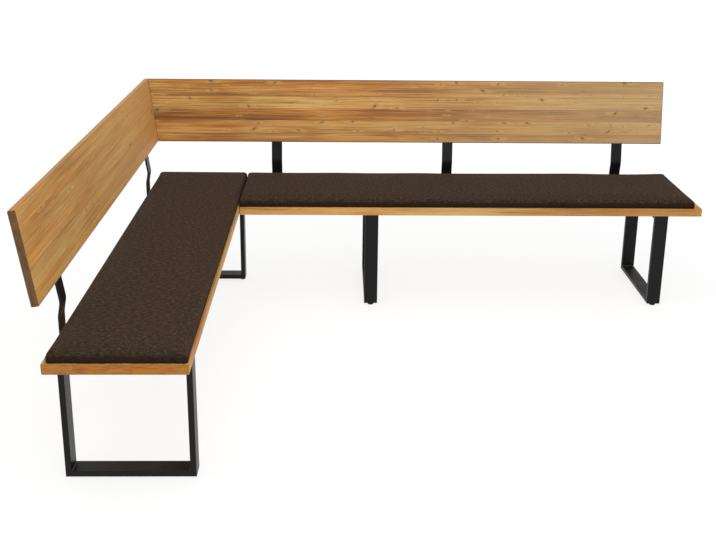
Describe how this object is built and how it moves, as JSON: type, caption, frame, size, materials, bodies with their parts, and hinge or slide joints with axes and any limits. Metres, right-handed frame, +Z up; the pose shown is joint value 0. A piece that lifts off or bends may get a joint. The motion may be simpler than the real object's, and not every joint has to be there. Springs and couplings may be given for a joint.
{
  "type": "corner bench",
  "caption": "L-shaped corner bench with plank seats on closed flat-tube leg frames, leaning plank backrests on bent bars, and loose fabric seat cushions.",
  "frame": {"origin": "on the floor, in the middle of the bench's outer box", "axes": "+X along the long side, away from the corner; +Y towards the long backrest; +Z up"},
  "size_m": [2.5654, 1.9154, 0.9563],
  "materials": {
    "seat_wood": "oiled glued staves, honey brown",
    "backrest_wood": "oiled glued staves, honey brown",
    "leg_steel": "satin black powder coat",
    "bar_steel": "satin black powder coat",
    "foot_plastic": "moulded black",
    "cushion_fabric": "dark brown mottled weave",
    "cushion_foam": "open foam",
    "zinc_steel": "bright zinc"
  },
  "bodies": {
    "bench": {"corner_plate_front": "bar_steel", "corner_plate_rear": "bar_steel", "corner_plate_screws": "zinc_steel", "long_backrest_board": "backrest_wood", "long_backrest_corner_support": "bar_steel", "long_backrest_middle_support": "bar_steel", "long_backrest_right_support": "bar_steel", "long_seat_board": "seat_wood", "middle_leg_bottom_rail": "leg_steel", "middle_leg_front_post": "leg_steel", "middle_leg_rear_post": "leg_steel", "middle_leg_rivet_nuts": "zinc_steel", "middle_leg_screws": "zinc_steel", "middle_leg_top_rail": "leg_steel", "near_leg_bottom_rail": "leg_steel", "near_leg_front_post": "leg_steel", "near_leg_rear_post": "leg_steel", "near_leg_rivet_nuts": "zinc_steel", "near_leg_screws": "zinc_steel", "near_leg_top_rail": "leg_steel", "rear_leg_bottom_rail": "leg_steel", "rear_leg_front_post": "leg_steel", "rear_leg_rear_post": "leg_steel", "rear_leg_rivet_nuts": "zinc_steel", "rear_leg_screws": "zinc_steel", "rear_leg_top_rail": "leg_steel", "right_leg_bottom_rail": "leg_steel", "right_leg_front_post": "leg_steel", "right_leg_rear_post": "leg_steel", "right_leg_rivet_nuts": "zinc_steel", "right_leg_screws": "zinc_steel", "right_leg_top_rail": "leg_steel", "short_backrest_board": "backrest_wood", "short_backrest_far_support": "bar_steel", "short_backrest_near_support": "bar_steel", "short_seat_board": "seat_wood", "support_board_screws": "zinc_steel", "support_seat_screws": "zinc_steel"},
    "near_front_leveller": {"near_leg_front_foot": "foot_plastic", "near_leg_front_foot_stud": "zinc_steel"},
    "near_rear_leveller": {"near_leg_rear_foot": "foot_plastic", "near_leg_rear_foot_stud": "zinc_steel"},
    "rear_front_leveller": {"rear_leg_front_foot": "foot_plastic", "rear_leg_front_foot_stud": "zinc_steel"},
    "rear_rear_leveller": {"rear_leg_rear_foot": "foot_plastic", "rear_leg_rear_foot_stud": "zinc_steel"},
    "middle_front_leveller": {"middle_leg_front_foot": "foot_plastic", "middle_leg_front_foot_stud": "zinc_steel"},
    "middle_rear_leveller": {"middle_leg_rear_foot": "foot_plastic", "middle_leg_rear_foot_stud": "zinc_steel"},
    "right_front_leveller": {"right_leg_front_foot": "foot_plastic", "right_leg_front_foot_stud": "zinc_steel"},
    "right_rear_leveller": {"right_leg_rear_foot": "foot_plastic", "right_leg_rear_foot_stud": "zinc_steel"},
    "long_cushion": {"long_cushion_cover": "cushion_fabric", "long_cushion_foam": "cushion_foam"},
    "short_cushion": {"short_cushion_cover": "cushion_fabric", "short_cushion_foam": "cushion_foam"}
  },
  "joints": [
    {"name": "near_front_leveller_travel", "type": "slide", "parent": "bench", "child": "near_front_leveller", "axis": [0, 0, -1], "range_m": [0, 0.008]},
    {"name": "near_rear_leveller_travel", "type": "slide", "parent": "bench", "child": "near_rear_leveller", "axis": [0, 0, -1], "range_m": [0, 0.008]},
    {"name": "rear_front_leveller_travel", "type": "slide", "parent": "bench", "child": "rear_front_leveller", "axis": [0, 0, -1], "range_m": [0, 0.008]},
    {"name": "rear_rear_leveller_travel", "type": "slide", "parent": "bench", "child": "rear_rear_leveller", "axis": [0, 0, -1], "range_m": [0, 0.008]},
    {"name": "middle_front_leveller_travel", "type": "slide", "parent": "bench", "child": "middle_front_leveller", "axis": [0, 0, -1], "range_m": [0, 0.008]},
    {"name": "middle_rear_leveller_travel", "type": "slide", "parent": "bench", "child": "middle_rear_leveller", "axis": [0, 0, -1], "range_m": [0, 0.008]},
    {"name": "right_front_leveller_travel", "type": "slide", "parent": "bench", "child": "right_front_leveller", "axis": [0, 0, -1], "range_m": [0, 0.008]},
    {"name": "right_rear_leveller_travel", "type": "slide", "parent": "bench", "child": "right_rear_leveller", "axis": [0, 0, -1], "range_m": [0, 0.008]},
    {"name": "long_cushion_lift", "type": "slide", "parent": "bench", "child": "long_cushion", "axis": [0, 0, 1], "range_m": [0, 0.5]},
    {"name": "short_cushion_lift", "type": "slide", "parent": "bench", "child": "short_cushion", "axis": [0, 0, 1], "range_m": [0, 0.5]}
  ]
}
